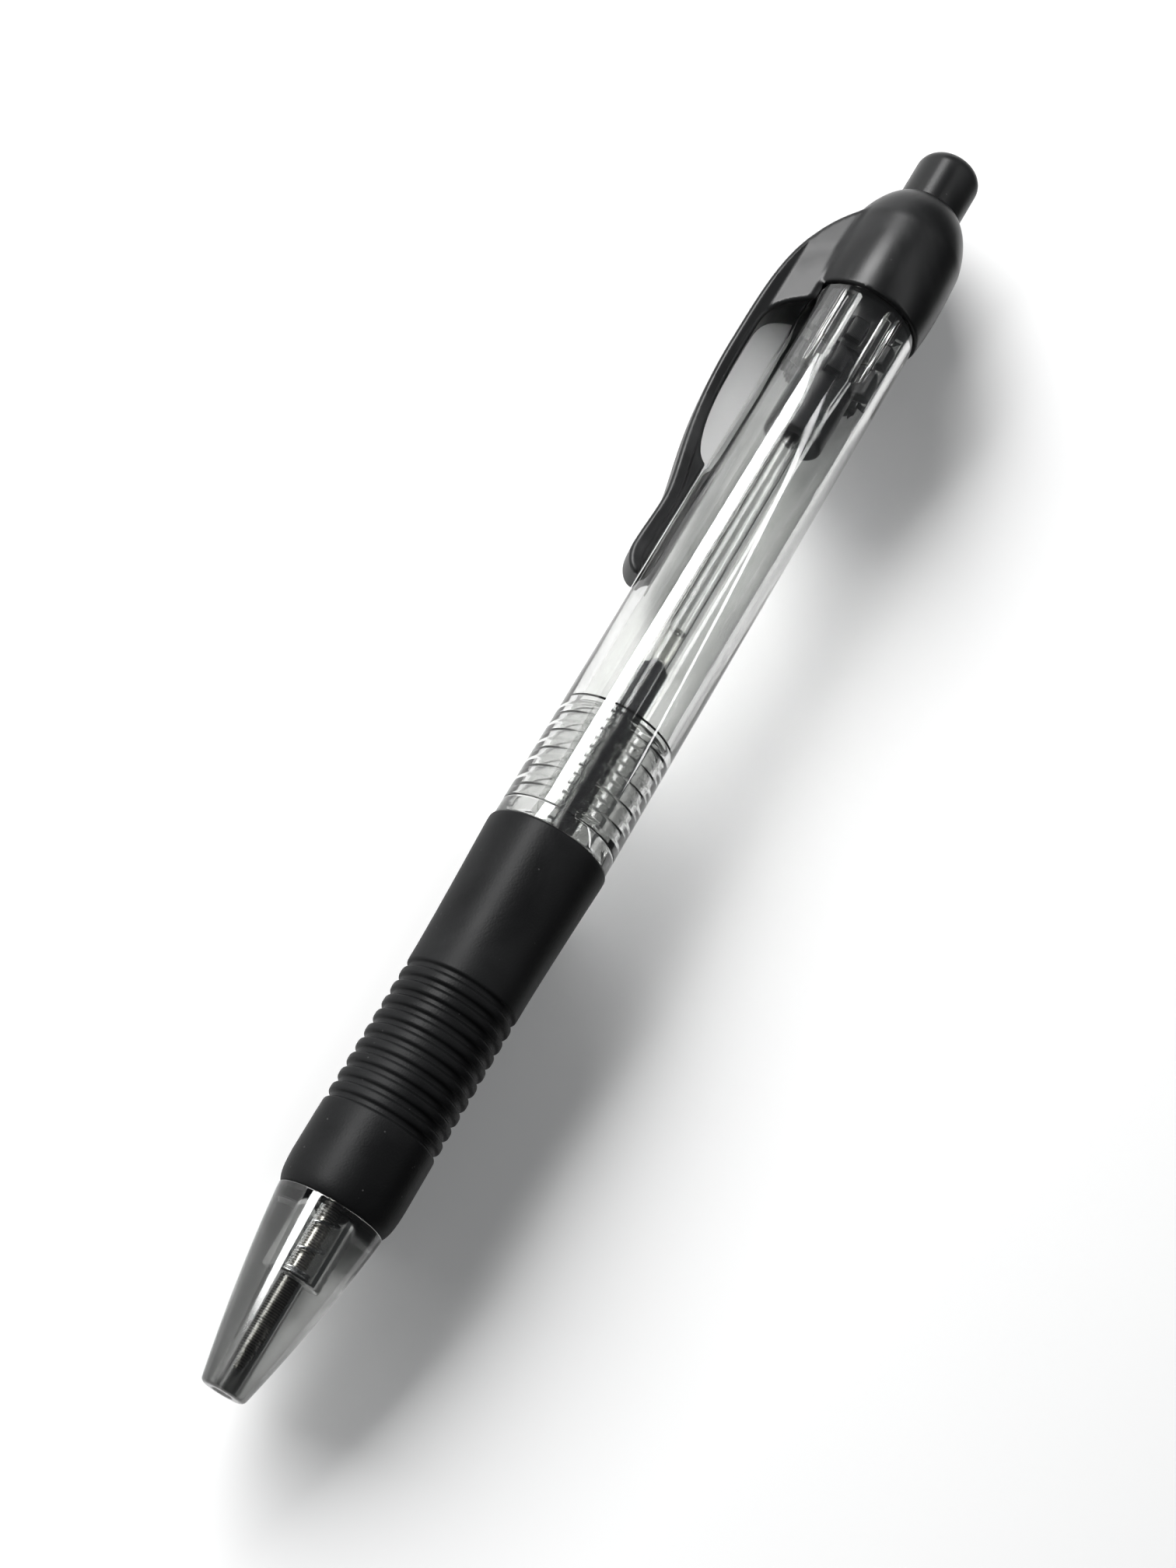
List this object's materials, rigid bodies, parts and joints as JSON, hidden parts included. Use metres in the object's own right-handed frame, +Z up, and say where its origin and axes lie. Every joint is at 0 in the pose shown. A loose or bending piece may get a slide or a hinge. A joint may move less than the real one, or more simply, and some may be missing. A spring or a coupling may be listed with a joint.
{
  "type": "retractable gel pen",
  "caption": "Retractable gel pen with a clear barrel and nose, a grooved black rubber grip, a black cap with a springy pocket clip, a push button and a refill that slides in and out.",
  "frame": {"origin": "on the surface that the pen lies on, under the middle of its bounding box", "axes": "+X along the pen from the nose to the push button; +Z up; the clip points to +Y and dips until its edge meets the surface"},
  "size_m": [0.1398, 0.0158, 0.0124],
  "materials": {
    "clear_plastic": "gloss",
    "grip_rubber": "satin",
    "black_plastic": "gloss",
    "cam_plastic": "satin",
    "tube_plastic": "gloss",
    "holder_plastic": "satin",
    "point_metal": "satin",
    "ball_metal": "polished",
    "gel_ink": "gloss",
    "follower_grease": "gloss",
    "spring_steel": "polished"
  },
  "bodies": {
    "barrel": {"barrel": "clear_plastic", "cap": "black_plastic"},
    "clip": {"clip": "black_plastic"},
    "button": {"push_button": "black_plastic"},
    "refill": {"rotor_cam": "cam_plastic", "refill_tube": "tube_plastic", "tip_holder": "holder_plastic", "point_body": "point_metal", "writing_ball": "ball_metal", "gel_ink": "gel_ink", "ink_follower": "follower_grease"},
    "spring": {"return_spring": "spring_steel"},
    "section": {"front_section": "clear_plastic", "grip_sleeve": "grip_rubber"}
  },
  "joints": [
    {"name": "button_press", "type": "slide", "parent": "barrel", "child": "button", "axis": [-1, 0, 0], "range_m": [0, 0.0054], "stiffness_N_per_m": 250, "springref_m": -0.003, "deforming": ["return_spring"]},
    {"name": "refill_feed", "type": "slide", "parent": "barrel", "child": "refill", "axis": [-1, 0, 0], "range_m": [0, 0.0055]},
    {"name": "section_advance", "type": "slide", "parent": "barrel", "child": "spring", "axis": [-1, 0, 0], "range_m": [0, 0.0111]},
    {"name": "section_turn", "type": "hinge", "parent": "spring", "child": "section", "pos_m": [-0.0137, -0.00173, 0.00621], "axis": [-1, 0, 0], "range_deg": [0, 1980]},
    {"name": "clip_flex", "type": "hinge", "parent": "barrel", "child": "clip", "pos_m": [0.04345, 0.00644, 0.00194], "axis": [0, -0.4634, -0.8862], "range_deg": [0, 4], "stiffness_Nm_per_rad": 0.4, "springref_deg": -0.17}
  ],
  "couplings": [
    {"joint": "refill_feed", "follows": "button_press", "ratio": 1},
    {"joint": "section_advance", "follows": "section_turn", "m_per_rad": 0.00031831}
  ]
}
